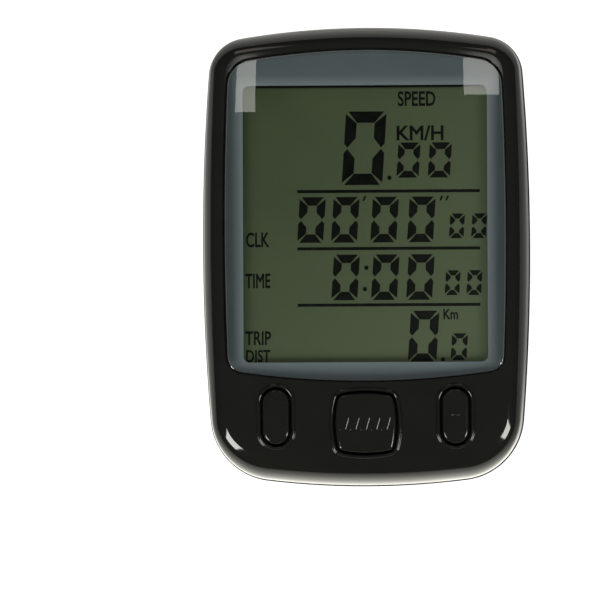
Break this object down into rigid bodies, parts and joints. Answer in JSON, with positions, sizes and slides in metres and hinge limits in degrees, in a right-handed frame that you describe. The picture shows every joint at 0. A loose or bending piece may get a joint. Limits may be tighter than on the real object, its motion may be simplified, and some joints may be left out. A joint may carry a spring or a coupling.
{
  "type": "cycling computer",
  "caption": "Handlebar cycling computer head: glossy two-part case, clear window over a segment display, push buttons, bayonet battery cover and bracket rails.",
  "frame": {"origin": "centre of the case outline, on the underside of the mounting rails, which the unit rests on", "axes": "+Z out of the display, +Y towards the top of the display, +X to the reader's right"},
  "size_m": [0.0394, 0.0552, 0.0159],
  "materials": {
    "front_plastic": "moulded ABS, polished gloss black",
    "button_plastic": "moulded ABS, gloss black",
    "back_plastic": "moulded ABS, fine satin texture",
    "clear_window": "clear acrylic, polished",
    "border_print": "blue-grey screen printed film",
    "polariser": "grey-green polarising film",
    "lcd_glass": "display glass",
    "reflector": "dark olive reflective film",
    "holder_plastic": "white polycarbonate",
    "silicone_dark": "black silicone rubber",
    "silicone_grey": "grey silicone rubber",
    "carbon": "conductive carbon rubber",
    "board": "fibreglass laminate with green solder mask",
    "epoxy": "black potting resin",
    "chips": "ceramic chips",
    "steel": "bright steel",
    "nickel": "nickel plated spring steel",
    "gold": "gold plated brass"
  },
  "bodies": {
    "case": {"front_shell": "front_plastic", "window_lens": "clear_window", "window_border": "border_print", "lcd_front_polariser": "polariser", "lcd_front_glass": "lcd_glass", "lcd_rear_glass": "lcd_glass", "lcd_reflector": "reflector", "lcd_holder": "holder_plastic", "zebra_strip": "silicone_dark", "circuit_board": "board", "chip_blob": "epoxy", "crystal_can": "steel", "surface_parts": "chips", "button_mat": "silicone_grey", "board_screws": "steel", "back_shell": "back_plastic", "case_gasket": "silicone_dark", "case_screws": "steel", "coin_cell": "steel", "negative_contact": "nickel", "positive_contact": "nickel", "bracket_contacts": "gold", "contact_leaves": "nickel"},
    "left_button": {"left_button_cap": "button_plastic", "left_contact_pill": "carbon"},
    "middle_button": {"middle_button_cap": "button_plastic", "middle_contact_pill": "carbon"},
    "right_button": {"right_button_cap": "button_plastic", "right_contact_pill": "carbon"},
    "battery_cover": {"battery_cover": "back_plastic", "battery_cover_seal": "silicone_dark"}
  },
  "joints": [
    {"name": "left_button_press", "type": "slide", "parent": "case", "child": "left_button", "axis": [0, 0, -1], "range_m": [0, 0.0006], "stiffness_N_per_m": 1500, "springref_m": -0.0003, "deforming": ["button_mat"]},
    {"name": "middle_button_press", "type": "slide", "parent": "case", "child": "middle_button", "axis": [0, 0, -1], "range_m": [0, 0.0006], "stiffness_N_per_m": 1500, "springref_m": -0.0003, "deforming": ["button_mat"]},
    {"name": "right_button_press", "type": "slide", "parent": "case", "child": "right_button", "axis": [0, 0, -1], "range_m": [0, 0.0006], "stiffness_N_per_m": 1500, "springref_m": -0.0003, "deforming": ["button_mat"]},
    {"name": "battery_cover_turn", "type": "hinge", "parent": "case", "child": "battery_cover", "pos_m": [0, -0.0035, 0.0024], "axis": [0, 0, -1], "range_deg": [0, 45]}
  ]
}
